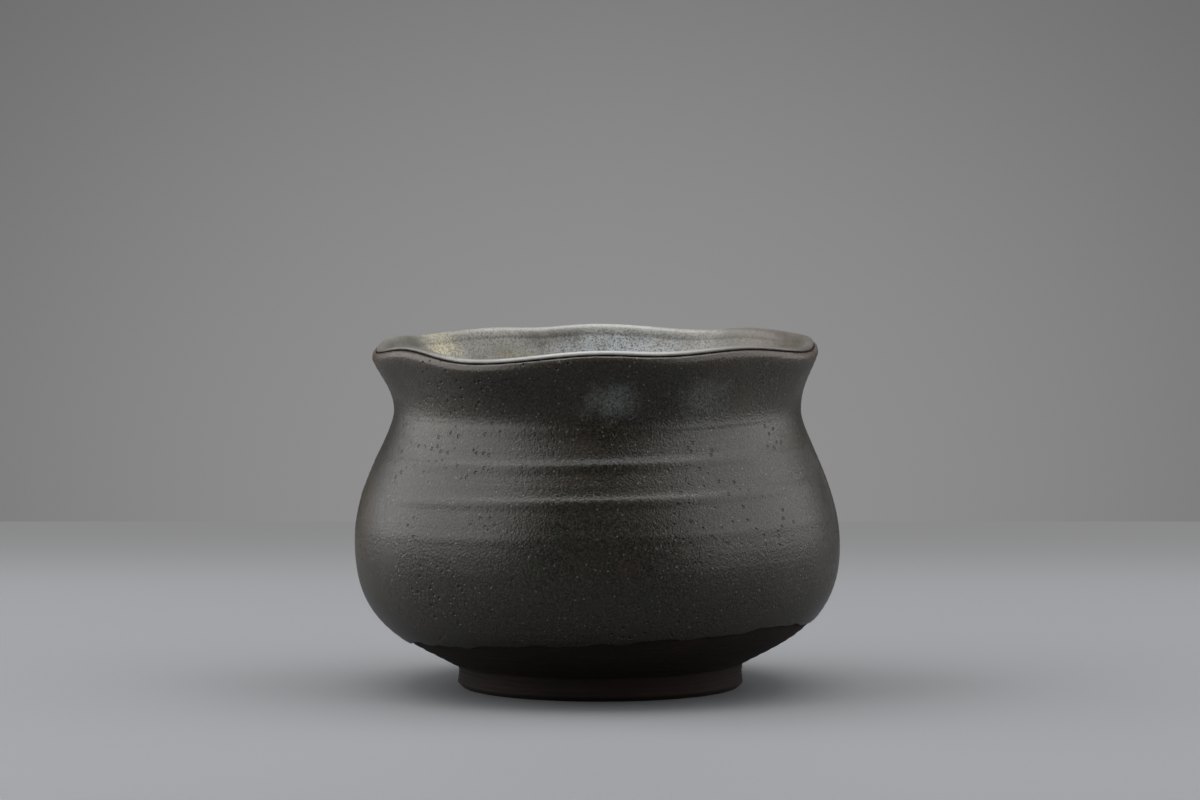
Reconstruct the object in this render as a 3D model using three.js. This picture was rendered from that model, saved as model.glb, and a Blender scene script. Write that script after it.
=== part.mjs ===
// A side dish bowl in stoneware: a thrown body with a neck and a waved lip, a foot ring,
// and two coats of glaze that meet on the lip and stop short of the foot.
// Millimetres, +Z up. The origin is on the table, under the middle of the belly, and -Y faces the viewer.
import * as THREE from "three";

// Outline of the bare clay, seen from the side
const bellyRadius = 59.5;
const bellyHeight = 36;
const neckRadius = 49.5;
const neckHeight = 68.5;
const lipRadius = 54.2;
const lipHeight = 84.6;
const lipDroop = 0.6; // how far the lip's edge moves out for each millimetre that the lip dips

// Foot ring
const footRadius = 35.2;
const footWidth = 6;
const footHeight = 6.2;
const footBevel = 1.1;
const footShift = 0.8; // the foot was set a little to the right of the belly's middle

// Thickness of the wall, the floor and the glaze
const wall = 4.2;
const lipThickness = 3;
const floor = 6;
const glaze = 0.5;
const seamGap = 0.4; // bare clay between the two coats, along the lip
const seatMargin = 1; // the flat underside reaches this far past the foot ring
const hollowRise = 0.5; // the underside rises this much to its middle, inside the foot ring

// Throwing ridges on the shoulder: height of each crest, and how far the crest stands proud
const ridges = [
  { height: 41, proud: 0.2 },
  { height: 50.4, proud: 0.4 },
  { height: 57, proud: 0.4 },
  { height: 66, proud: 0.25 },
];
const ridgeTilt = 1.3; // the ridges climb towards the right by this much

// Crests and hollows of the lip: degrees round from the right, and rise in millimetres
const lipWave = [
  [5, 0.9],
  [20, 1.0],
  [40, 1.3],
  [62, 0.1],
  [90, 1.2],
  [108, 0.4],
  [120, 0.7],
  [146, -0.2],
  [167, 0.4],
  [187, -1.3],
  [210, 0.5],
  [236, -1.5],
  [272, 1.0],
  [287, 0.6],
  [311, 1.5],
  [342, -0.4],
];
// Lower edge of the outside glaze: degrees round from the right, and height in millimetres
const glazeEdge = [
  [0, 17],
  [60, 14.5],
  [110, 16.5],
  [180, 11.5],
  [230, 14],
  [270, 16],
  [320, 18],
];

const sectionCount = 48; // sections round the axis
const fullTurn = 2 * Math.PI;

// A value that swings between the stations of a closed list, level at each of them.
function around(stations, angle) {
  const degrees = ((THREE.MathUtils.radToDeg(angle) % 360) + 360) % 360;
  const after = stations.findIndex(([place]) => place > degrees);
  const next = after === -1 ? 0 : after;
  const last = (next + stations.length - 1) % stations.length;
  const span = (stations[next][0] - stations[last][0] + 360) % 360;
  const gone = (degrees - stations[last][0] + 360) % 360;
  const share = 0.5 - 0.5 * Math.cos((Math.PI * gone) / span);
  return THREE.MathUtils.lerp(stations[last][1], stations[next][1], share);
}

// The outside of the clay wall in three stretches, each a curve of (radius, height).
const seatRadius = footRadius + footShift + seatMargin / 2;
const underBelly = new THREE.CubicBezierCurve(
  new THREE.Vector2(seatRadius, footHeight),
  new THREE.Vector2(seatRadius + 0.4 * (bellyRadius - seatRadius), footHeight + 0.15 * bellyHeight),
  new THREE.Vector2(bellyRadius, bellyHeight * 0.42),
  new THREE.Vector2(bellyRadius, bellyHeight),
);
const shoulder = new THREE.CubicBezierCurve(
  new THREE.Vector2(bellyRadius, bellyHeight),
  new THREE.Vector2(bellyRadius, bellyHeight + 0.45 * (neckHeight - bellyHeight)),
  new THREE.Vector2(neckRadius, neckHeight - 0.2 * (neckHeight - bellyHeight)),
  new THREE.Vector2(neckRadius, neckHeight),
);
function flareAt(angle) {
  const rise = around(lipWave, angle);
  const edge = new THREE.Vector2(lipRadius - lipDroop * rise, lipHeight + rise - lipThickness * 0.7);
  const climb = edge.y - neckHeight;
  return new THREE.CubicBezierCurve(
    new THREE.Vector2(neckRadius, neckHeight),
    new THREE.Vector2(neckRadius, neckHeight + 0.4 * climb),
    new THREE.Vector2(edge.x - 0.3 * (edge.x - neckRadius), edge.y - 0.3 * climb),
    edge,
  );
}

// The place on a curve that climbs to a given height.
function placeAtHeight(curve, height) {
  let low = 0;
  let high = 1;
  for (let i = 0; i < 30; i += 1) {
    const middle = (low + high) / 2;
    if (curve.getPoint(middle).y < height) low = middle;
    else high = middle;
  }
  return (low + high) / 2;
}

// A point on a curve moved out along the curve's own normal, which points to the curve's right.
function pointOff(curve, place, distance) {
  const direction = curve.getTangent(place);
  return curve.getPoint(place).add(new THREE.Vector2(direction.y, -direction.x).multiplyScalar(distance));
}

// Places along each stretch where the sections have their points
const bareSteps = 3;
const lowSteps = 4;
const flareSteps = 4;
const lipSteps = 4;
const innerSteps = 4;

function steps(from, to, count) {
  return Array.from({ length: count }, (unused, i) => THREE.MathUtils.lerp(from, to, i / count));
}

// Heights of the shoulder's points: each ridge's crest, and the hollow halfway to the next.
function ridgeRows() {
  const rows = [{ height: bellyHeight, proud: 0 }];
  ridges.forEach((ridge, i) => {
    const next = i + 1 < ridges.length ? ridges[i + 1].height : neckHeight;
    if (ridge.height <= bellyHeight || ridge.height >= neckHeight) return;
    rows.push(ridge);
    rows.push({ height: (ridge.height + next) / 2, proud: 0 });
  });
  return rows;
}

// Points up the outside of the wall from the glaze's lower edge to the lip, at a distance off the bare clay.
function glazedWall(angle, off) {
  const start = placeAtHeight(underBelly, around(glazeEdge, angle));
  const low = steps(start, 1, lowSteps).map((place) => pointOff(underBelly, place, off));
  const ridged = ridgeRows().map(({ height, proud }, row) => {
    const tilt = row === 0 ? 0 : ridgeTilt * Math.cos(angle);
    const tilted = THREE.MathUtils.clamp(height + tilt, bellyHeight, neckHeight);
    return pointOff(shoulder, placeAtHeight(shoulder, tilted), off + proud);
  });
  const flare = flareAt(angle);
  const high = steps(0, 1, flareSteps).map((place) => pointOff(flare, place, off));
  return [...low, ...ridged, ...high, pointOff(flare, 1, off)];
}

// The lip: half an ellipse from the wall's outer edge over the top, at a distance off the bare clay.
// Its angle runs from 0 at the outer edge to half a turn at the inner edge.
function lipPoint(angle, turn, off) {
  const rise = around(lipWave, angle);
  const edge = flareAt(angle).getPoint(1);
  const half = lipThickness / 2;
  const height = lipHeight + rise - edge.y;
  return new THREE.Vector2(
    edge.x - half + (half + off) * Math.cos(turn),
    edge.y + (height + off) * Math.sin(turn),
  );
}
function lipArc(angle, from, to, off) {
  return [...steps(from, to, lipSteps), to].map((turn) => lipPoint(angle, turn, off));
}

// The inside of the wall in three stretches, from the lip's inner edge down to the middle of the floor.
const floorHeight = footHeight + floor;
function insideAt(angle) {
  const edge = flareAt(angle).getPoint(1);
  const start = new THREE.Vector2(edge.x - lipThickness, edge.y);
  const neck = new THREE.Vector2(neckRadius - wall, neckHeight);
  const belly = new THREE.Vector2(bellyRadius - wall, bellyHeight);
  const climb = start.y - neck.y;
  const drop = neck.y - belly.y;
  return [
    new THREE.CubicBezierCurve(
      start,
      new THREE.Vector2(start.x - 0.4 * (start.x - neck.x), start.y - 0.35 * climb),
      new THREE.Vector2(neck.x, neck.y + 0.4 * climb),
      neck,
    ),
    new THREE.CubicBezierCurve(
      neck,
      new THREE.Vector2(neck.x, neck.y - 0.2 * drop),
      new THREE.Vector2(belly.x, belly.y + 0.45 * drop),
      belly,
    ),
    new THREE.CubicBezierCurve(
      belly,
      new THREE.Vector2(belly.x, belly.y - 0.62 * (belly.y - floorHeight)),
      new THREE.Vector2(0.6 * belly.x, floorHeight),
      new THREE.Vector2(0, floorHeight),
    ),
  ];
}
function insideWall(angle, off) {
  const points = insideAt(angle).flatMap((curve, stretch) =>
    steps(0, 1, stretch === 2 ? innerSteps + 2 : innerSteps).map((place) => pointOff(curve, place, off)),
  );
  return [...points.slice(1), new THREE.Vector2(0, floorHeight + off)];
}

// Skins the sections that sectionAt gives, one for each angle, each a list of (radius, height).
// A coat lists the clay's own points in the clay's order, so both are skinned by the same triangles,
// and turnedOver then makes the coat's faces point out of it.
function turned(sectionAt, turnedOver) {
  const size = sectionAt(0).length;
  const geometry = new THREE.LatheGeometry(sectionAt(0), sectionCount);
  const position = geometry.getAttribute("position");
  for (let i = 0; i <= sectionCount; i += 1) {
    const angle = ((i % sectionCount) / sectionCount) * fullTurn;
    sectionAt(angle).forEach((point, j) => {
      position.setXYZ(i * size + j, point.x * Math.cos(angle), point.x * Math.sin(angle), point.y);
    });
  }
  if (turnedOver) geometry.index.array.reverse();
  geometry.computeVertexNormals();
  return geometry;
}
const closed = (points) => [...points, points[0].clone()];

// The lip's own angle where the two coats of glaze meet, just below the top on its outer side
const seamTurn = 0.9;
const seamHalf = seamGap / lipThickness;

function claySection(angle) {
  const underside = [
    new THREE.Vector2(0, footHeight + hollowRise),
    new THREE.Vector2(footRadius - footWidth - footShift - seatMargin, footHeight),
  ];
  const start = placeAtHeight(underBelly, around(glazeEdge, angle));
  const bare = steps(0, start, bareSteps).map((place) => underBelly.getPoint(place));
  const glazed = glazedWall(angle, 0);
  return [
    ...underside,
    ...bare,
    ...glazed.slice(0, -1),
    ...lipArc(angle, 0, seamTurn - seamHalf, 0),
    ...lipArc(angle, seamTurn + seamHalf, Math.PI, 0),
    ...insideWall(angle, 0),
  ];
}
function outerGlazeSection(angle) {
  const under = [...glazedWall(angle, 0).slice(0, -1), ...lipArc(angle, 0, seamTurn - seamHalf, 0)];
  const over = [...glazedWall(angle, glaze).slice(0, -1), ...lipArc(angle, 0, seamTurn - seamHalf, glaze)];
  return closed([...under, ...over.reverse()]);
}
function innerGlazeSection(angle) {
  const under = [...lipArc(angle, seamTurn + seamHalf, Math.PI, 0), ...insideWall(angle, 0)];
  const over = [...lipArc(angle, seamTurn + seamHalf, Math.PI, glaze), ...insideWall(angle, glaze)];
  return closed([...under, ...over.reverse()]);
}
function footSection() {
  const inner = footRadius - footWidth;
  return closed([
    new THREE.Vector2(inner + footBevel, 0),
    new THREE.Vector2(footRadius - footBevel, 0),
    new THREE.Vector2(footRadius, footBevel),
    new THREE.Vector2(footRadius - 0.3, footHeight * 0.6),
    new THREE.Vector2(footRadius, footHeight),
    new THREE.Vector2(inner - footBevel, footHeight),
    new THREE.Vector2(inner, footHeight - 2 * footBevel),
    new THREE.Vector2(inner, footBevel),
  ]);
}

const bareClay = { color: 0x4a3a30, roughness: 0.85, metalness: 0 };
const greyGlaze = { color: 0x4c4a44, roughness: 0.4, metalness: 0 };
const ashGlaze = { color: 0x8d8b80, roughness: 0.35, metalness: 0 };

function piece(name, sectionAt, finish, turnedOver = false) {
  const mesh = new THREE.Mesh(turned(sectionAt, turnedOver), new THREE.MeshStandardMaterial(finish));
  mesh.name = name;
  return mesh;
}

const bowl = new THREE.Group();
bowl.add(piece("clay_body", claySection, bareClay));
bowl.add(piece("outer_glaze", outerGlazeSection, greyGlaze, true));
bowl.add(piece("inner_glaze", innerGlazeSection, ashGlaze, true));
const foot = piece("foot_ring", footSection, bareClay);
foot.position.x = footShift;
bowl.add(foot);

export default bowl;
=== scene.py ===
"""A side dish bowl in glazed stoneware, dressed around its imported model. Metres, +Z up."""

import bmesh
import bpy
import numpy as np
from mathutils import Matrix, Vector


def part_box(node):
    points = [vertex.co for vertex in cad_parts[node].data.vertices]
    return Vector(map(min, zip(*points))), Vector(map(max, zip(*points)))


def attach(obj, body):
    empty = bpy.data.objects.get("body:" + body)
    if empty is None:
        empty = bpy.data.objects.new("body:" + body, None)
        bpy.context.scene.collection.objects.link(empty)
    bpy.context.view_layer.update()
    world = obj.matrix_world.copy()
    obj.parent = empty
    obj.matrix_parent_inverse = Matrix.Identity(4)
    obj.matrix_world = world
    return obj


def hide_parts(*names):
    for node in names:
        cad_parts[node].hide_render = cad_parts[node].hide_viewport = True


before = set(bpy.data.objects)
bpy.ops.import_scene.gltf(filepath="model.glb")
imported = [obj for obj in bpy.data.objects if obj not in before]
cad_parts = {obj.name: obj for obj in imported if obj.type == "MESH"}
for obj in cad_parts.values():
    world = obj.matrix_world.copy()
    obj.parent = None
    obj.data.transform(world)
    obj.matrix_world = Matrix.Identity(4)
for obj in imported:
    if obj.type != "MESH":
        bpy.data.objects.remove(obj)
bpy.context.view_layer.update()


# Camera: a long lens a little above the rim, level enough to show only the far wall's top.
# It looks at the neck from one and a half metres away.
CAMERA_PLACE = (0.0007, -1.51, 0.18)
CAMERA_AIM = (0.0007, 0, 0.0707)
camera_data = bpy.data.cameras.new("camera")
camera_data.sensor_width = 36
camera_data.lens = 184.2
camera = bpy.data.objects.new("camera", camera_data)
camera.location = CAMERA_PLACE
camera.rotation_euler = (Vector(CAMERA_AIM) - camera.location).to_track_quat("-Z", "Y").to_euler()
bpy.context.collection.objects.link(camera)
bpy.context.scene.camera = camera
bpy.context.scene.view_settings.view_transform = "Standard"


# Clay body: iron-bearing stoneware thrown on a wheel, left bare above the foot.
# The turning tool left fine rings in it, and the fingers left a slow spiral in the shoulder.
MM = 0.001
SECTIONS = 560
ANGLE = np.arange(SECTIONS) * 2 * np.pi / SECTIONS
FRONT = 1.5 * np.pi
foot_low, foot_high = (np.array(corner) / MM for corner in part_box("foot_ring"))
FOOT_RADIUS = (foot_high[0] - foot_low[0]) / 2
FOOT_SHIFT = (foot_high[0] + foot_low[0]) / 2
FOOT_HEIGHT = foot_high[2]
# The widest and the narrowest ring, as (radius, height) in millimetres.
BELLY = np.array((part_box("clay_body")[1][0] / MM, 36))
NECK = np.array((49.5, 68.5))
LIP_RADIUS = 54.2
LIP_HEIGHT = 84.6
LIP_DROOP = 0.6
LIP_THICKNESS = 3
LIP_RISE = 0.7 * LIP_THICKNESS
WALL = 4.2
FLOOR_HEIGHT = FOOT_HEIGHT + 6
# The lip's rise and the glaze edge's height round the bowl, in degrees from the right by the back.
LIP_WAVE = (
    (5, 0.9), (20, 1.0), (40, 1.3), (62, 0.1), (90, 1.2), (108, 0.4), (120, 0.7), (146, -0.2),
    (167, 0.4), (187, -1.3), (210, 0.5), (236, -1.5), (272, 1.0), (287, 0.6), (311, 1.5), (342, -0.4),
)
GLAZE_EDGE = ((0, 17), (60, 14.5), (110, 16.5), (180, 11.5), (230, 14), (270, 16), (320, 18))


def around(stations):
    """A value at every angle that eases by half a cosine wave from each station to the next."""
    places, values = np.array(stations, float).T
    places = np.append(places, places[0] + 360)
    values = np.append(values, values[0])
    degrees = (np.degrees(ANGLE) - places[0]) % 360 + places[0]
    last = np.clip(np.searchsorted(places, degrees, side="right") - 1, 0, len(stations) - 1)
    share = 0.5 - 0.5 * np.cos(np.pi * (degrees - places[last]) / (places[last + 1] - places[last]))
    return values[last] * (1 - share) + values[last + 1] * share


def curve(corners, place):
    """A cubic curve's (radius, height): corners weighted by (1-t)^3, 3t(1-t)^2, 3t^2(1-t) and t^3."""
    weights = ((1 - place) ** 3, 3 * place * (1 - place) ** 2, 3 * place**2 * (1 - place), place**3)
    return [sum(weight * corner[axis] for weight, corner in zip(weights, corners)) for axis in (0, 1)]


def stacked(*stretches):
    """Stretches of rows, each a (radius, height) pair, one after the other and as wide as all sections."""
    widened = [[np.broadcast_to(part, (len(part), SECTIONS)) for part in stretch] for stretch in stretches]
    return [np.vstack(parts) for parts in zip(*widened)]


def raised(profile, distance):
    """Each point moved by a distance along its normal: its section's direction turned a quarter right."""
    radius, height = profile
    outward, upward = np.gradient(radius, axis=0), np.gradient(height, axis=0)
    length = np.hypot(outward, upward) + 1e-9
    return radius + distance * upward / length, height - distance * outward / length


def rows(count, start=0.0, end=1.0):
    """Even steps from start up to but not at the end, one in each row. A start or end that differs
    from section to section gives a column for each of them."""
    return start + (np.arange(count) / count)[:, None] * (end - start)


rim_rise = around(LIP_WAVE)
EDGE = (LIP_RADIUS - LIP_DROOP * rim_rise, LIP_HEIGHT + rim_rise - LIP_RISE)
SEAT = FOOT_RADIUS + FOOT_SHIFT + 0.5
UNDER_BELLY = (
    (SEAT, FOOT_HEIGHT),
    (SEAT + 0.4 * (BELLY[0] - SEAT), FOOT_HEIGHT + 0.15 * BELLY[1]),
    (BELLY[0], 0.42 * BELLY[1]),
    BELLY,
)
DROP = NECK[1] - BELLY[1]
SHOULDER = (BELLY, (BELLY[0], BELLY[1] + 0.45 * DROP), (NECK[0], NECK[1] - 0.2 * DROP), NECK)
CLIMB = EDGE[1] - NECK[1]
FLARE = (
    NECK,
    (NECK[0], NECK[1] + 0.4 * CLIMB),
    (EDGE[0] - 0.3 * (EDGE[0] - NECK[0]), EDGE[1] - 0.3 * CLIMB),
    EDGE,
)
hem_wander = 0.35 * np.sin(9 * ANGLE + 1) + 0.2 * np.sin(23 * ANGLE) + 0.12 * np.sin(41 * ANGLE + 2)
sampled = np.linspace(0, 1, 400)
HEM_PLACE = np.interp(around(GLAZE_EDGE) + hem_wander, curve(UNDER_BELLY, sampled)[1], sampled)


def lip(count, start, end):
    """Half an ellipse over the wall's edge: its angle goes from start to end."""
    turn = rows(count, start, end)
    half = LIP_THICKNESS / 2
    return EDGE[0] - half + half * np.cos(turn), EDGE[1] + LIP_RISE * np.sin(turn)


def inside(lip_rows, neck_rows, floor_rows):
    """Three cubic curves, from the lip's inner edge to the neck, the belly and the floor's middle."""
    start = (EDGE[0] - LIP_THICKNESS, EDGE[1])
    neck = (NECK[0] - WALL, NECK[1])
    belly = (BELLY[0] - WALL, BELLY[1])
    upper = (
        start,
        (start[0] - 0.4 * (start[0] - neck[0]), start[1] - 0.35 * CLIMB),
        (neck[0], neck[1] + 0.4 * CLIMB),
        neck,
    )
    middle = (neck, (neck[0], neck[1] - 0.2 * DROP), (belly[0], belly[1] + 0.45 * DROP), belly)
    lower = (
        belly,
        (belly[0], belly[1] - 0.62 * (belly[1] - FLOOR_HEIGHT)),
        (0.6 * belly[0], FLOOR_HEIGHT),
        (0, FLOOR_HEIGHT),
    )
    floor_middle = np.ones((1, 1))
    places = (rows(lip_rows), rows(neck_rows), rows(floor_rows), floor_middle)
    return [curve(corners, place) for corners, place in zip((upper, middle, lower, lower), places)]


RIDGE_PITCH = 8.5
RIDGE_START = 50
RIDGE_SHARPNESS = 5
RIDGE_HEIGHTS = (24, 34, 41, 48, 57, 66, 72)
RIDGE_CRESTS = (0, 0.05, 0.16, 0.48, 0.48, 0.2, 0)


def relief(height):
    """What the fingers left: a spiral ridge, fine lines along it and slow swellings. The ridge is
    a cosine raised to a power, and is strong at front and back and faint at the two sides."""
    turns = (height - RIDGE_START) / RIDGE_PITCH - (ANGLE - FRONT) / (2 * np.pi)
    uneven = 0.1 + 1.05 * np.cos(ANGLE - FRONT) ** 2 + 0.08 * np.sin(7 * ANGLE + 0.1 * height)
    crest = (0.5 + 0.5 * np.cos(2 * np.pi * turns)) ** RIDGE_SHARPNESS
    ridge = crest * np.interp(height, RIDGE_HEIGHTS, RIDGE_CRESTS) * uneven
    lines = 0.03 * np.sin(2 * np.pi * turns * 5) * np.sin(0.1 * height + 2 * ANGLE)
    swelling = 0.16 * np.sin(2 * ANGLE + height / 9) + 0.09 * np.sin(5 * ANGLE - height / 6)
    return ridge + lines + swelling * np.interp(height, (18, 30, 70, 84), (0, 1, 1, 0))


def skinned(name, radius, height, loops, marks):
    """A face between each row and the next and each section and the next, all the way round.
    A profile that loops joins its last row to its first, and points on the axis are merged."""
    count = len(radius)
    places = np.stack([radius * np.cos(ANGLE), radius * np.sin(ANGLE), height], axis=-1) * MM
    row = np.arange(count if loops else count - 1)[:, None] * np.ones((1, SECTIONS), int)
    column = np.arange(SECTIONS)[None, :] * np.ones_like(row)
    above, beside = (row + 1) % count, (column + 1) % SECTIONS
    corners = ((row, column), (row, beside), (above, beside), (above, column))
    faces = np.stack([r * SECTIONS + c for r, c in corners], axis=-1).reshape(-1, 4)
    mesh = bpy.data.meshes.new(name)
    mesh.from_pydata(places.reshape(-1, 3), [], faces.tolist())
    for mark, values in marks.items():
        layer = mesh.attributes.new(mark, "FLOAT", "POINT")
        layer.data.foreach_set("value", np.ascontiguousarray(values, dtype=np.float32).ravel())
    merged = bmesh.new()
    merged.from_mesh(mesh)
    bmesh.ops.remove_doubles(merged, verts=merged.verts, dist=1e-7)
    merged.to_mesh(mesh)
    merged.free()
    mesh.polygons.foreach_set("use_smooth", np.ones(len(mesh.polygons), bool))
    made = bpy.data.objects.new(name, mesh)
    bpy.context.collection.objects.link(made)
    return made


def linear(hex_colour):
    """Each sRGB share: divided by 12.92 where small, or else offset, scaled and put to the power 2.4."""
    srgb = np.array([int(hex_colour[i : i + 2], 16) / 255 for i in (1, 3, 5)])
    light = np.where(srgb <= 0.04045, srgb / 12.92, ((srgb + 0.055) / 1.055) ** 2.4)
    return (*light.tolist(), 1.0)


def add(tree, kind, inputs=None, **settings):
    """Adds a node with its settings. An input that is given a socket is linked, and any other is set."""
    made = tree.nodes.new("ShaderNode" + kind)
    for name, value in settings.items():
        setattr(made, name, value)
    for socket, value in (inputs or {}).items():
        if isinstance(value, bpy.types.NodeSocket):
            tree.links.new(value, made.inputs[socket])
        else:
            made.inputs[socket].default_value = value
    return made


def blank_material(name):
    """A material and its emptied node tree."""
    material = bpy.data.materials.new(name)
    material.use_nodes = True
    material.node_tree.nodes.clear()
    return material, material.node_tree


# Fired stoneware clay: the turning tool dragged grit round it, which leaves rings and a rough matt
# skin. Its open pores scatter the light, so it has hardly any gloss.
material_clay, tree = blank_material("fired_stoneware")
place = add(tree, "TexCoord").outputs["Object"]
stretched = add(tree, "Mapping", {"Vector": place, "Scale": (0.05, 0.05, 1)}).outputs[0]
rings = add(tree, "TexNoise", {"Vector": stretched, "Scale": 1 / (0.7 * MM), "Detail": 3.0}).outputs[0]
grit = add(tree, "TexNoise", {"Vector": place, "Scale": 1 / (0.5 * MM), "Detail": 3.0}).outputs[0]
cloud = add(tree, "TexNoise", {"Vector": place, "Scale": 1 / (12 * MM), "Detail": 3.0}).outputs[0]
cloudy = add(tree, "MapRange", {"Value": cloud, "From Min": 0.35, "From Max": 0.65}).outputs[0]
gritty = add(tree, "MapRange", {"Value": grit, "From Min": 0.5, "From Max": 0.75, "To Max": 0.5}).outputs[0]
ringed = add(tree, "MapRange", {"Value": rings, "From Min": 0.5, "From Max": 0.7, "To Max": 0.45}).outputs[0]
colour = linear("#170f0b")
for share, tint in ((cloudy, "#20150f"), (gritty, "#0d0a09"), (ringed, "#2e1e15")):
    colour = add(tree, "Mix", {0: share, 6: colour, 7: linear(tint)}, data_type="RGBA").outputs[2]
ring_bump = add(tree, "Bump", {"Height": rings, "Distance": 0.12 * MM, "Strength": 0.8}).outputs[0]
grit_bump = add(tree, "Bump", {"Height": grit, "Distance": 0.06 * MM, "Normal": ring_bump}).outputs[0]
surface = add(
    tree, "BsdfPrincipled", {"Base Color": colour, "Roughness": 0.88, "IOR": 1.4, "Normal": grit_bump}
)
add(tree, "OutputMaterial", {"Surface": surface.outputs[0]})

# The wall's profile goes from under the middle, up the outside, over the lip and down to the floor.
# Above BARE_HEIGHT and inside it lies a little deeper, so that the coats alone show there.
DISH_RADIUS = FOOT_RADIUS - 8
DISH_DEPTH = 0.5
BARE_HEIGHT = FLOOR_HEIGHT + 4
TURNING_PITCH = 1.3
TURNING_DEPTH = 0.05
COVERED_DEPTH = 0.25
underside = (
    np.concatenate([rows(10, 0, DISH_RADIUS), rows(8, DISH_RADIUS, SEAT)]),
    FOOT_HEIGHT + DISH_DEPTH * (1 - np.concatenate([rows(10), np.ones((8, 1))])),
)
outside = (
    curve(UNDER_BELLY, rows(40) * HEM_PLACE),
    curve(UNDER_BELLY, HEM_PLACE + rows(8) * (1 - HEM_PLACE)),
    curve(SHOULDER, rows(20)),
    curve(FLARE, rows(10)),
)
profile = stacked(underside, *outside, lip(16, 0, np.pi), *inside(8, 8, 10))
first_raised = len(underside[0]) + 1
outside_end = len(underside[0]) + sum(len(stretch[0]) for stretch in outside)
below_lip = np.arange(len(profile[0]))[:, None] < outside_end
bare = below_lip & (profile[1] < BARE_HEIGHT)
turning = TURNING_DEPTH * np.sin(profile[1] * 2 * np.pi / TURNING_PITCH + np.sin(3 * ANGLE))
clay_relief = np.where(below_lip, relief(profile[1]), 0) + np.where(bare, turning, 0)
# The underside and the row that sits on the foot stay plain.
clay_relief[:first_raised] = 0
clay_relief -= np.where(bare, 0, COVERED_DEPTH)
clay_body = skinned("clay_wall", *raised(profile, clay_relief), False, {})
clay_body.data.materials.append(material_clay)
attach(clay_body, "root")
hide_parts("clay_body")


# Foot ring: turned from the same clay, with a knife bevel round its lower edge.
# Faint rings run round its side, and its flat face is worn smooth where the bowl stands.
FOOT_WIDTH = 6
FOOT_BEVEL = 1.1
FOOT_WAIST = 0.3
FOOT_RING_PITCH = 1.1
FOOT_RING_DEPTH = 0.06
FOOT_RING_END = FOOT_HEIGHT - 0.3
inner = FOOT_RADIUS - FOOT_WIDTH
foot_outline = (
    (inner + FOOT_BEVEL, 0),
    (FOOT_RADIUS - FOOT_BEVEL, 0),
    (FOOT_RADIUS, FOOT_BEVEL),
    (FOOT_RADIUS - FOOT_WAIST, 0.6 * FOOT_HEIGHT),
    (FOOT_RADIUS, FOOT_HEIGHT),
    (inner - FOOT_BEVEL, FOOT_HEIGHT),
    (inner, FOOT_HEIGHT - 2 * FOOT_BEVEL),
    (inner, FOOT_BEVEL),
)
foot_sides = []
for corner, following in zip(foot_outline, foot_outline[1:] + foot_outline[:1]):
    foot_sides.append([corner[axis] + rows(10) * (following[axis] - corner[axis]) for axis in (0, 1)])
foot_profile = stacked(*foot_sides)
ring_turn = foot_profile[1] * 2 * np.pi / FOOT_RING_PITCH + 1.5 * np.sin(2 * ANGLE)
foot_rings = FOOT_RING_DEPTH * np.sin(ring_turn)
on_side = (foot_profile[1] > FOOT_BEVEL) & (foot_profile[1] < FOOT_RING_END)
foot = skinned("turned_foot", *raised(foot_profile, np.where(on_side, foot_rings, 0)), True, {})
foot.data.transform(Matrix.Translation((FOOT_SHIFT * MM, 0, 0)))
foot.data.materials.append(material_clay)
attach(foot, "root")
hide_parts("foot_ring")


# Outer glaze: a dark wood-ash glaze dipped over the shoulder, which ran and stopped above the foot.
# It pooled into a roll along its lower edge, and it thins on the lip, where the iron shows brown.
# The seam with the inner glaze is a hairline on the lip, SEAM_TURN radians round it.
COAT = 0.5
COAT_SUNK = 0.1
THINNEST_SHARE = 0.1
EDGE_FADE = 0.25
ROLL_PLACE = 1.3
ROLL_WIDTH = 0.9
SEAM_TURN = 0.9
SEAM_HALF = 0.045 + 0.035 * np.abs(np.sin(31 * ANGLE + 2 * np.sin(7 * ANGLE)))
RIM_REACH = 2.2
HEM_REACH = 5
UNDER_STEP = 5


def coat_thickness(distance_to_edge, roll):
    """Full thickness far from an edge, falling to a tenth at it, with a bell-shaped roll beside it."""
    full = COAT * (1 - (1 - THINNEST_SHARE) * np.exp(-distance_to_edge / EDGE_FADE))
    return full + roll * np.exp(-(((distance_to_edge - ROLL_PLACE) / ROLL_WIDTH) ** 2))


def length_along(profile):
    """Distance gone along each section, row by row: the sum of the straight steps."""
    steps = np.hypot(np.diff(profile[0], axis=0), np.diff(profile[1], axis=0))
    return np.vstack([np.zeros((1, SECTIONS)), np.cumsum(steps, axis=0)])


outer_base = stacked(
    curve(UNDER_BELLY, HEM_PLACE + rows(16) ** 1.6 * 0.3 * (1 - HEM_PLACE)),
    curve(UNDER_BELLY, HEM_PLACE + (0.3 + 0.7 * rows(26)) * (1 - HEM_PLACE)),
    curve(SHOULDER, rows(60)),
    curve(FLARE, rows(22)),
    lip(10, 0, SEAM_TURN - SEAM_HALF),
)
to_hem = length_along(outer_base)
to_seam = to_hem[-1:] - to_hem
thickness = np.minimum(coat_thickness(to_hem, 0.35), coat_thickness(to_seam, 0.2))
outer_relief = relief(outer_base[1])
outer_over = raised(outer_base, outer_relief + thickness)
outer_under = [part[::-UNDER_STEP] for part in raised(outer_base, outer_relief - COAT_SUNK)]
outer_radius, outer_height = (np.vstack(pair) for pair in zip(outer_over, outer_under))
hidden = np.ones_like(outer_under[0])
thin_share = 0.15 + 0.85 * np.cos(ANGLE) ** 2
outer_marks = {
    "rim": np.vstack([np.exp(-((to_seam / RIM_REACH) ** 2)) * thin_share, hidden]),
    "hem": np.vstack([np.exp(-to_hem / HEM_REACH), hidden]),
}
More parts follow.
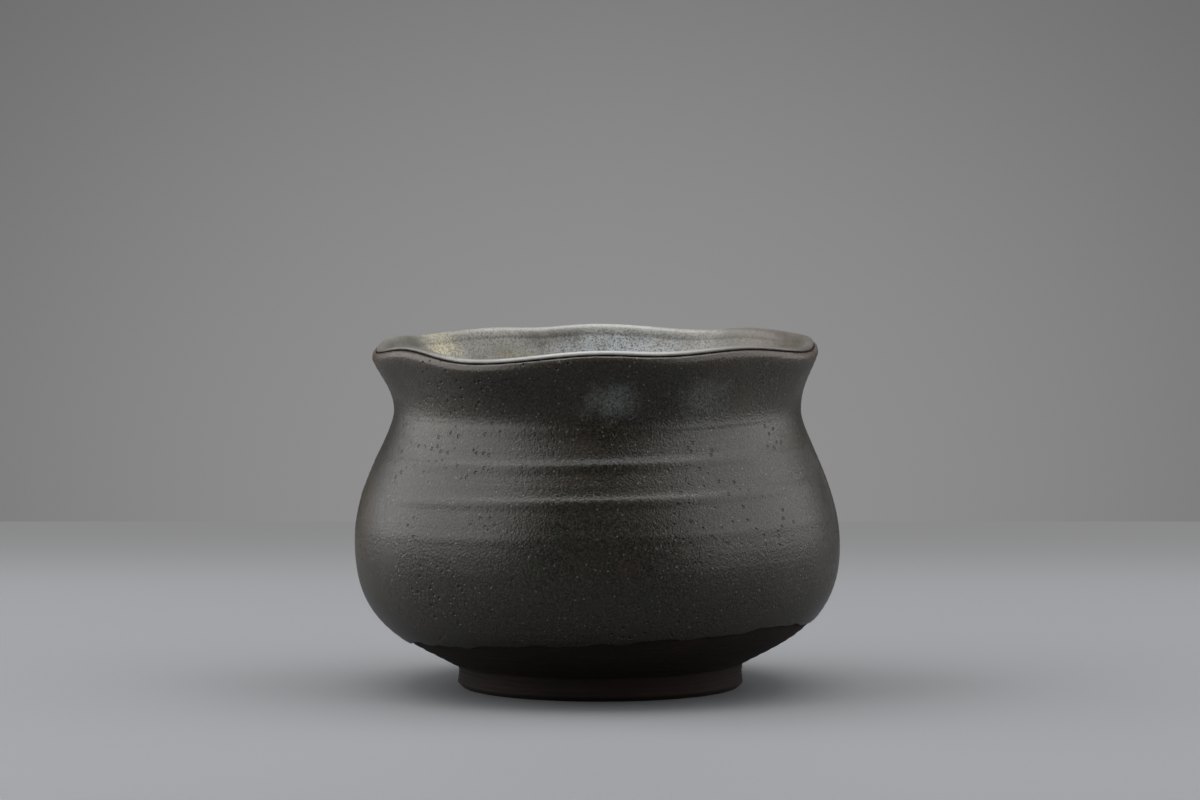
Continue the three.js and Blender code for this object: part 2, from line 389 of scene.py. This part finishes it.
outer_glaze = skinned("outer_coat", outer_radius, outer_height, True, outer_marks)


def patch(tree, place, centre, size, torn):
    """One inside an ellipsoid, easing to nothing outside. Noise times torn is added to the distance
    from its centre in radii, which tears its edge."""
    shrink = tuple(1 / (side * MM) for side in size)
    shift = tuple(-middle * MM * scale for middle, scale in zip(centre, shrink))
    local = add(tree, "Mapping", {"Vector": place, "Location": shift, "Scale": shrink}).outputs[0]
    distance = add(tree, "VectorMath", {0: local}, operation="LENGTH").outputs["Value"]
    noise = add(tree, "TexNoise", {"Vector": place, "Scale": 1 / (3 * MM), "Detail": 8.0, "Roughness": 0.75})
    torn_distance = {0: noise.outputs[0], 1: torn, 2: distance}
    ragged = add(tree, "Math", torn_distance, operation="MULTIPLY_ADD").outputs[0]
    edges = {"Value": ragged, "From Min": torn / 2, "From Max": 1.3 + torn / 2, "To Min": 1.0, "To Max": 0.0}
    return add(tree, "MapRange", edges, interpolation_type="SMOOTHSTEP").outputs[0]


# Wood-ash glaze over iron clay: satin, finely pebbled, with pinholes where gas broke through.
# The grain, specks and pinholes are drawn coarser than real ones, so that they show.

# Each patch is its centre, radii, torn edge, colour and strength: two pale ash spots, a dark band
# at the right that is painted shade, the brown flame mark at the left, a wash on the lip's left,
# and paler patches on the neck's left and right that are painted reflections of the side softboxes.
PATCHES = (
    ((3.4, -50, 74), (7, 6, 5), 2.4, "#868e8c", 0.6),
    ((25.5, -43.5, 74.5), (8, 6, 6), 2.4, "#7c8480", 0.5),
    # Painted shade: a near-black band near the right edge, which is also made matt further down.
    ((56, -16, 52), (7, 10, 18), 1.6, "#12130b", 0.95),
    ((-57, -14, 42), (7, 11, 14), 1.4, "#57493a", 0.5),
    ((-46, -18, 78), (12, 12, 6), 1.2, "#3c332b", 0.4),
    # Painted reflections: the next two paler patches, on the neck's left and right, stand for the side
    # softboxes' light.
    ((-36, -34, 69), (20, 20, 13), 1.6, "#55534b", 0.6),
    ((38, -33, 70), (18, 20, 12), 1.6, "#4c4a43", 0.6),
)
material_outer, tree = blank_material("dark_ash_glaze")
place = add(tree, "TexCoord").outputs["Object"]
cloud = add(tree, "TexNoise", {"Vector": place, "Scale": 1 / (16 * MM), "Detail": 5.0}).outputs[0]
grain = add(tree, "TexNoise", {"Vector": place, "Scale": 1 / (0.5 * MM), "Detail": 3.0}).outputs[0]
pebble = add(tree, "TexNoise", {"Vector": place, "Scale": 1 / (0.9 * MM), "Detail": 3.0}).outputs[0]
speck = add(tree, "TexVoronoi", {"Vector": place, "Scale": 1 / (2.0 * MM)}).outputs["Distance"]
blush = add(
    tree, "TexNoise", {"Vector": place, "Scale": 1 / (8 * MM), "Detail": 6.0, "Roughness": 0.65}
).outputs[0]
cloudy = add(tree, "MapRange", {"Value": cloud, "From Min": 0.35, "From Max": 0.65}).outputs[0]
grainy = add(tree, "MapRange", {"Value": grain, "From Min": 0.4, "From Max": 0.68, "To Max": 0.8}).outputs[0]
specked = add(
    tree, "MapRange", {"Value": speck, "From Min": 0.07, "From Max": 0.13, "To Min": 0.6, "To Max": 0.0}
).outputs[0]
warm = add(tree, "MapRange", {"Value": blush, "From Min": 0.52, "From Max": 0.66, "To Max": 0.55}).outputs[0]
green = add(
    tree, "MapRange", {"Value": blush, "From Min": 0.46, "From Max": 0.34, "To Max": 0.55}
).outputs[0]
colour = linear("#13110d")
for share, tint in (
    (cloudy, "#221f18"),
    (grainy, "#46423a"),
    (specked, "#8c897d"),
    (warm, "#33271d"),
    (green, "#2a2c22"),
):
    colour = add(tree, "Mix", {0: share, 6: colour, 7: linear(tint)}, data_type="RGBA").outputs[2]

broken = add(
    tree, "MapRange", {"Value": grain, "From Min": 0.35, "From Max": 0.62, "To Min": 0.25}
).outputs[0]
for centre, size, torn, tint, strength in PATCHES:
    within = patch(tree, place, centre, size, torn)
    grained = add(tree, "Math", {0: within, 1: broken}, operation="MULTIPLY").outputs[0]
    amount = add(tree, "Math", {0: grained, 1: strength}, operation="MULTIPLY").outputs[0]
    colour = add(tree, "Mix", {0: amount, 6: colour, 7: linear(tint)}, data_type="RGBA").outputs[2]

pin = add(tree, "TexVoronoi", {"Vector": place, "Scale": 1 / (2.2 * MM)}).outputs["Distance"]
hole = add(
    tree, "MapRange", {"Value": pin, "From Min": 0.15, "From Max": 0.23, "To Min": 1.0, "To Max": 0.0}
).outputs[0]
crowd = add(tree, "TexNoise", {"Vector": place, "Scale": 1 / (22 * MM), "Detail": 1.0}).outputs[0]
crowded = add(tree, "MapRange", {"Value": crowd, "From Min": 0.55, "From Max": 0.63}).outputs[0]
neck_crowd = patch(tree, place, (-36, -36, 66), (18, 18, 13), 1.0)
crowded = add(tree, "Math", {0: crowded, 1: neck_crowd}, operation="MAXIMUM").outputs[0]
pinned = add(tree, "Math", {0: hole, 1: crowded}, operation="MULTIPLY").outputs[0]
rim = add(tree, "Attribute", attribute_name="rim").outputs["Fac"]
hem = add(tree, "Attribute", attribute_name="hem").outputs["Fac"]
rim_share = add(tree, "Math", {0: rim, 1: 0.9}, operation="MULTIPLY").outputs[0]
hem_share = add(tree, "Math", {0: hem, 1: 0.5}, operation="MULTIPLY").outputs[0]
for share, tint in ((rim_share, "#5a4d44"), (hem_share, "#15110e"), (pinned, "#100e0c")):
    colour = add(tree, "Mix", {0: share, 6: colour, 7: linear(tint)}, data_type="RGBA").outputs[2]

gloss = add(
    tree, "MapRange", {"Value": cloud, "From Min": 0.3, "From Max": 0.7, "To Min": 0.21, "To Max": 0.31}
).outputs[0]
# The band of painted shade at the right edge is made matt.
painted_shade_band = patch(tree, place, (57, -14, 52), (7, 9, 18), 1.6)
gloss = add(tree, "Mix", {0: painted_shade_band, 2: gloss, 3: 0.85}).outputs[0]
pebble_bump = add(tree, "Bump", {"Height": pebble, "Distance": 0.07 * MM}).outputs[0]
grain_bump = add(tree, "Bump", {"Height": grain, "Distance": 0.15 * MM, "Normal": pebble_bump}).outputs[0]
pin_bump = add(
    tree, "Bump", {"Height": pinned, "Distance": 0.25 * MM, "Normal": grain_bump}, invert=True
).outputs[0]
surface = add(
    tree, "BsdfPrincipled", {"Base Color": colour, "Roughness": gloss, "IOR": 1.52, "Normal": pin_bump}
)
add(tree, "OutputMaterial", {"Surface": surface.outputs[0]})
outer_glaze.data.materials.append(material_outer)
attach(outer_glaze, "root")
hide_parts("outer_glaze")


# Inner glaze: a paler ash glaze poured inside and out again, which covers the lip's top and the floor.
# Its lip top has a painted highlight, white at the front and back, and it is thin enough at the near left
# and right to show brown.
LIP_THIN = (
    (30, 0.5), (90, 0), (160, 0), (190, 0.8), (218, 0.8), (234, 0), (284, 0), (300, 0.7), (345, 0.9),
)
THIN_REACH = 2.6
inner_base = stacked(lip(14, SEAM_TURN + SEAM_HALF, np.pi), *inside(34, 40, 50))
gone = length_along(inner_base)
inner_relief = 0.4 * relief(inner_base[1]) * np.interp(gone, (0, 8, 16), (0, 0, 1))
inner_over = raised(inner_base, inner_relief + coat_thickness(gone, 0.15))
inner_over[0][-1] = 0
inner_under = [part[::-UNDER_STEP] for part in raised(inner_base, -COAT_SUNK)]
inner_under[0][0] = 0
inner_radius, inner_height = (np.vstack(pair) for pair in zip(inner_over, inner_under))
hidden = np.ones_like(inner_under[0])
# Painted highlight: the lip's top is painted white, mostly at the front and back.
rim_highlight_share = 0.15 + 0.85 * np.sin(ANGLE) ** 6
inner_marks = {
    "rim": np.vstack([np.exp(-((gone / RIM_REACH) ** 2)) * rim_highlight_share, hidden]),
    "thin": np.vstack([np.exp(-((gone / THIN_REACH) ** 2)) * around(LIP_THIN), hidden]),
}
inner_glaze = skinned("inner_coat", inner_radius, inner_height, True, inner_marks)

# Pale ash glaze: as glossy as the outside, milky where it is thick and stained where the ash fell.
# From left to right it is cream, olive, blue-white and brown: flying ash and the flame gave the cream, olive
# and brown, and the blue-white patch is a painted highlight.
STAINS_AND_HIGHLIGHT = (
    ((-41, 33, 80), (8, 9, 7), 1.4, "#cfc6a4", 0.85),
    ((-24, 46, 76), (12, 8, 5), 1.8, "#857a4c", 0.7),
    # Painted highlight: the blue-white patch high on the far wall stands for the glossy highlight there.
    ((6, 50, 80), (22, 12, 6), 1.6, "#b9c0c4", 0.85),
    ((44, 27, 80), (16, 24, 10), 1.2, "#5e4f42", 0.8),
)
material_inner, tree = blank_material("pale_ash_glaze")
place = add(tree, "TexCoord").outputs["Object"]
cloud = add(tree, "TexNoise", {"Vector": place, "Scale": 1 / (9 * MM), "Detail": 6.0}).outputs[0]
grain = add(tree, "TexNoise", {"Vector": place, "Scale": 1 / (0.5 * MM), "Detail": 3.0}).outputs[0]
cloudy = add(tree, "MapRange", {"Value": cloud, "From Min": 0.35, "From Max": 0.65}).outputs[0]
grainy = add(
    tree, "MapRange", {"Value": grain, "From Min": 0.44, "From Max": 0.64, "To Max": 0.75}
).outputs[0]
thin = add(tree, "Attribute", attribute_name="thin").outputs["Fac"]
rim = add(tree, "Attribute", attribute_name="rim").outputs["Fac"]
rim_share = add(tree, "Math", {0: rim, 1: 0.8}, operation="MULTIPLY").outputs[0]
colour = add(
    tree, "Mix", {0: cloudy, 6: linear("#68655d"), 7: linear("#918f87")}, data_type="RGBA"
).outputs[2]
for centre, size, torn, tint, strength in STAINS_AND_HIGHLIGHT:
    within = patch(tree, place, centre, size, torn)
    amount = add(tree, "Math", {0: within, 1: strength}, operation="MULTIPLY").outputs[0]
    colour = add(tree, "Mix", {0: amount, 6: colour, 7: linear(tint)}, data_type="RGBA").outputs[2]
# The last tint, #bdbdbb along the lip's top, is the painted highlight.
for share, tint in ((grainy, "#4a463d"), (thin, "#3f372f"), (rim_share, "#bdbdbb")):
    colour = add(tree, "Mix", {0: share, 6: colour, 7: linear(tint)}, data_type="RGBA").outputs[2]
grain_bump = add(tree, "Bump", {"Height": grain, "Distance": 0.07 * MM}).outputs[0]
slow_bump = add(tree, "Bump", {"Height": cloud, "Distance": 0.3 * MM, "Normal": grain_bump}).outputs[0]
surface = add(
    tree, "BsdfPrincipled", {"Base Color": colour, "Roughness": 0.3, "IOR": 1.52, "Normal": slow_bump}
)
add(tree, "OutputMaterial", {"Surface": surface.outputs[0]})
inner_glaze.data.materials.append(material_inner)
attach(inner_glaze, "root")
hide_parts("inner_glaze")


# Table and backdrop: a smooth pale table whose far edge melts into a grey wall, painted brighter in the
# middle and darker towards the corners.
# Neither belongs to the bowl. The camera sees the table paler than the rest of the scene does,
# so that it throws less light back up under the belly.
TABLE_SIDE = 1.5
TABLE_NEAR = -1.8
TABLE_END = 0.44
HAZE_START = 0.22
WALL_SIDE = 2
WALL_PLACE = 1.3
WALL_BOTTOM = -1
WALL_TOP = 2.5
BACKDROP_COLOUR = linear("#8a8a8a")


def panel(name, corners):
    """One flat face with its corners in order."""
    mesh = bpy.data.meshes.new(name)
    mesh.from_pydata(corners, [], [tuple(range(len(corners)))])
    made = bpy.data.objects.new(name, mesh)
    bpy.context.collection.objects.link(made)
    return made


table = panel("table", [
    (-TABLE_SIDE, TABLE_NEAR, 0),
    (TABLE_SIDE, TABLE_NEAR, 0),
    (TABLE_SIDE, TABLE_END, 0),
    (-TABLE_SIDE, TABLE_END, 0),
])
material_table, tree = blank_material("smooth_table")
place = add(tree, "TexCoord").outputs["Object"]
depth = add(tree, "SeparateXYZ", {0: place}).outputs["Y"]
haze = add(
    tree,
    "MapRange",
    {"Value": depth, "From Min": HAZE_START, "From Max": TABLE_END},
    interpolation_type="SMOOTHSTEP",
).outputs[0]
seen = add(tree, "LightPath").outputs["Is Camera Ray"]
table_colour = add(
    tree, "Mix", {0: seen, 6: linear("#626365"), 7: linear("#8d8f92")}, data_type="RGBA"
).outputs[2]
surface = add(tree, "BsdfPrincipled", {"Base Color": table_colour, "Roughness": 0.5})
glow = add(tree, "Emission", {"Color": BACKDROP_COLOUR})
mixed = add(tree, "MixShader", {0: haze, 1: surface.outputs[0], 2: glow.outputs[0]})
add(tree, "OutputMaterial", {"Surface": mixed.outputs[0]})
table.data.materials.append(material_table)

wall = panel("backdrop", [
    (-WALL_SIDE, WALL_PLACE, WALL_BOTTOM),
    (WALL_SIDE, WALL_PLACE, WALL_BOTTOM),
    (WALL_SIDE, WALL_PLACE, WALL_TOP),
    (-WALL_SIDE, WALL_PLACE, WALL_TOP),
])
material_wall, tree = blank_material("wall_with_painted_light")
place = add(tree, "TexCoord").outputs["Object"]
# Painted light: the wall as the camera sees it is brighter in the middle and darker towards the corners.
bright_middle = {"Vector": place, "Location": (0, -WALL_PLACE, 0.06), "Scale": (0.8, 1, 1)}
middle = add(tree, "Mapping", bright_middle).outputs[0]
reach = add(tree, "VectorMath", {0: middle}, operation="LENGTH").outputs["Value"]
corner_share = add(
    tree, "MapRange", {"Value": reach, "From Min": 0.05, "From Max": 0.42}, interpolation_type="SMOOTHSTEP"
).outputs[0]
shade = add(
    tree, "Mix", {0: corner_share, 6: linear("#8e8e8f"), 7: linear("#666666")}, data_type="RGBA"
).outputs[2]
seen = add(tree, "LightPath").outputs["Is Camera Ray"]
matt = add(tree, "BsdfDiffuse", {"Color": BACKDROP_COLOUR})
glow = add(tree, "Emission", {"Color": shade})
mixed = add(tree, "MixShader", {0: seen, 1: matt.outputs[0], 2: glow.outputs[0]})
add(tree, "OutputMaterial", {"Surface": mixed.outputs[0]})
wall.data.materials.append(material_wall)


# Lamps: a large soft box on each side of the bowl, a third above it, and a dim room.
# The front of the belly mirrors the dark between the side boxes, and their light lies on its flanks.
# Each lamp is its name, place, aim, width, height and watts.
LAMPS = (
    ("left_softbox", (-0.48, -0.06, 0.58), (0, -0.06, 0.58), 0.98, 1.1, 6.8),
    ("right_softbox", (0.48, -0.08, 0.58), (0, -0.08, 0.58), 0.9, 1.1, 4.9),
    ("top_softbox", (0, 0.15, 1.2), (0, 0.15, 0), 1.4, 1.1, 14),
)
for name, stand, aim, width, height, watts in LAMPS:
    lamp_data = bpy.data.lights.new(name, "AREA")
    lamp_data.shape = "RECTANGLE"
    lamp_data.size = width
    lamp_data.size_y = height
    lamp_data.energy = watts
    lamp = bpy.data.objects.new(name, lamp_data)
    lamp.location = stand
    lamp.rotation_euler = (Vector(aim) - Vector(stand)).to_track_quat("-Z", "Y").to_euler()
    lamp.visible_camera = False
    bpy.context.collection.objects.link(lamp)
room = bpy.data.worlds.new("room")
room.use_nodes = True
room_light = room.node_tree.nodes["Background"]
room_light.inputs["Color"].default_value = linear("#9c9c9e")
room_light.inputs["Strength"].default_value = 0.15
bpy.context.scene.world = room
